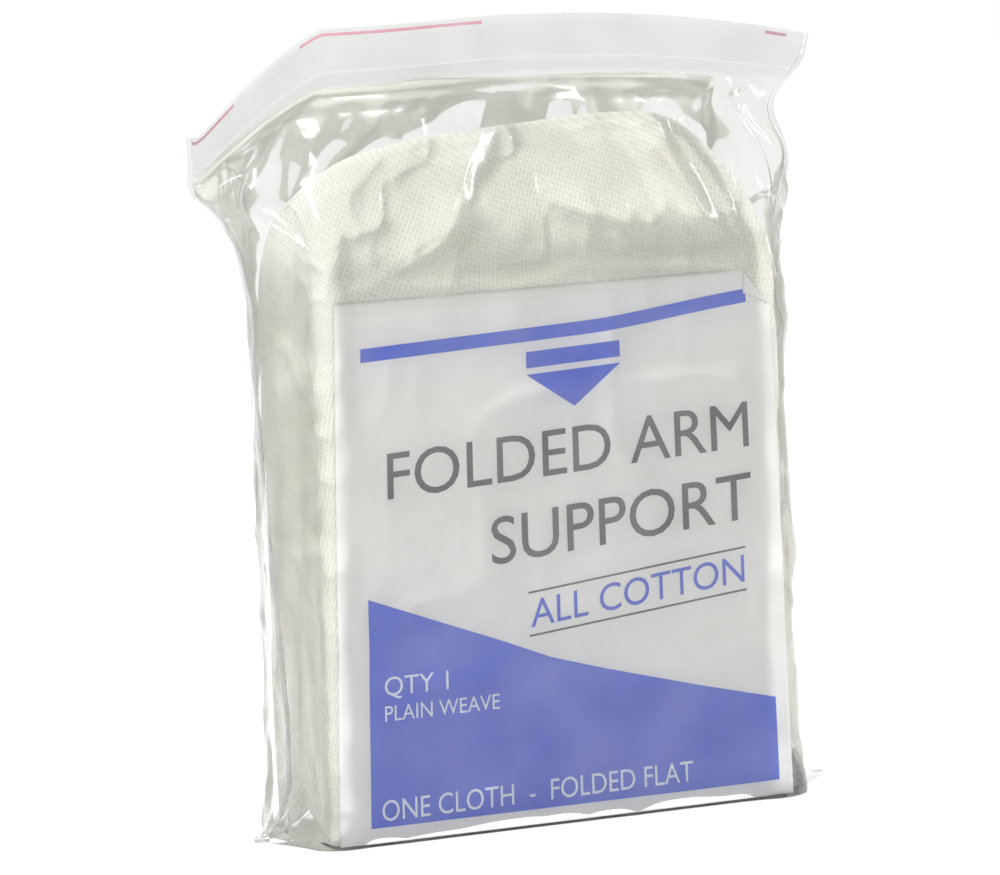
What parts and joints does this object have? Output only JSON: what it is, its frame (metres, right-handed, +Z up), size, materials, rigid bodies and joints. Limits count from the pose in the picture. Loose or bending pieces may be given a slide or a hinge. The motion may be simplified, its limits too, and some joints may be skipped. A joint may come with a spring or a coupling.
{
  "type": "packed arm sling",
  "caption": "Clear press-seal bag standing upright, holding a folded cotton triangular arm sling behind a printed insert card.",
  "frame": {"origin": "middle of the flat base, at the surface it stands on", "axes": "+Z up towards the zip, -Y is the front with the card, +X to the right of someone who faces the card"},
  "size_m": [0.15, 0.04, 0.178],
  "materials": {
    "film": "clear glossy film",
    "weld": "hazy melted film",
    "zip": "translucent moulded profile",
    "line": "coloured line in the film",
    "card": "coated paper",
    "cloth": "plain unbleached cotton gauze"
  },
  "bodies": {
    "bag": {"base_film": "film", "front_film": "film", "back_film": "film", "left_weld": "weld", "right_weld": "weld"},
    "contents": {"sling_cloth": "cloth", "insert_card": "card"},
    "front_mouth": {"neck_front": "film", "zip_groove": "zip"},
    "back_mouth": {"neck_back": "film", "zip_rib": "zip"},
    "front_pull": {"front_lip": "film"},
    "back_pull": {"back_lip": "film", "mark_line": "line"}
  },
  "joints": [
    {"name": "contents_lift", "type": "slide", "parent": "bag", "child": "contents", "axis": [0, 0, 1], "range_m": [0, 0.165]},
    {"name": "front_mouth_open", "type": "hinge", "parent": "bag", "child": "front_mouth", "pos_m": [0, -0.02, 0.118], "axis": [1, 0, 0], "range_deg": [0, 121]},
    {"name": "back_mouth_open", "type": "hinge", "parent": "bag", "child": "back_mouth", "pos_m": [0, 0.02, 0.118], "axis": [-1, 0, 0], "range_deg": [0, 121]},
    {"name": "front_lip_bend", "type": "hinge", "parent": "front_mouth", "child": "front_pull", "pos_m": [0, -0.0013, 0.1686], "axis": [1, 0, 0], "range_deg": [0, 60], "stiffness_Nm_per_rad": 0.002},
    {"name": "back_lip_bend", "type": "hinge", "parent": "back_mouth", "child": "back_pull", "pos_m": [0, 0.0013, 0.1686], "axis": [-1, 0, 0], "range_deg": [0, 60], "stiffness_Nm_per_rad": 0.002}
  ],
  "couplings": [
    {"joint": "front_mouth_open", "follows": "contents_lift", "rad_per_m": 12.7},
    {"joint": "back_mouth_open", "follows": "contents_lift", "rad_per_m": 12.7}
  ]
}
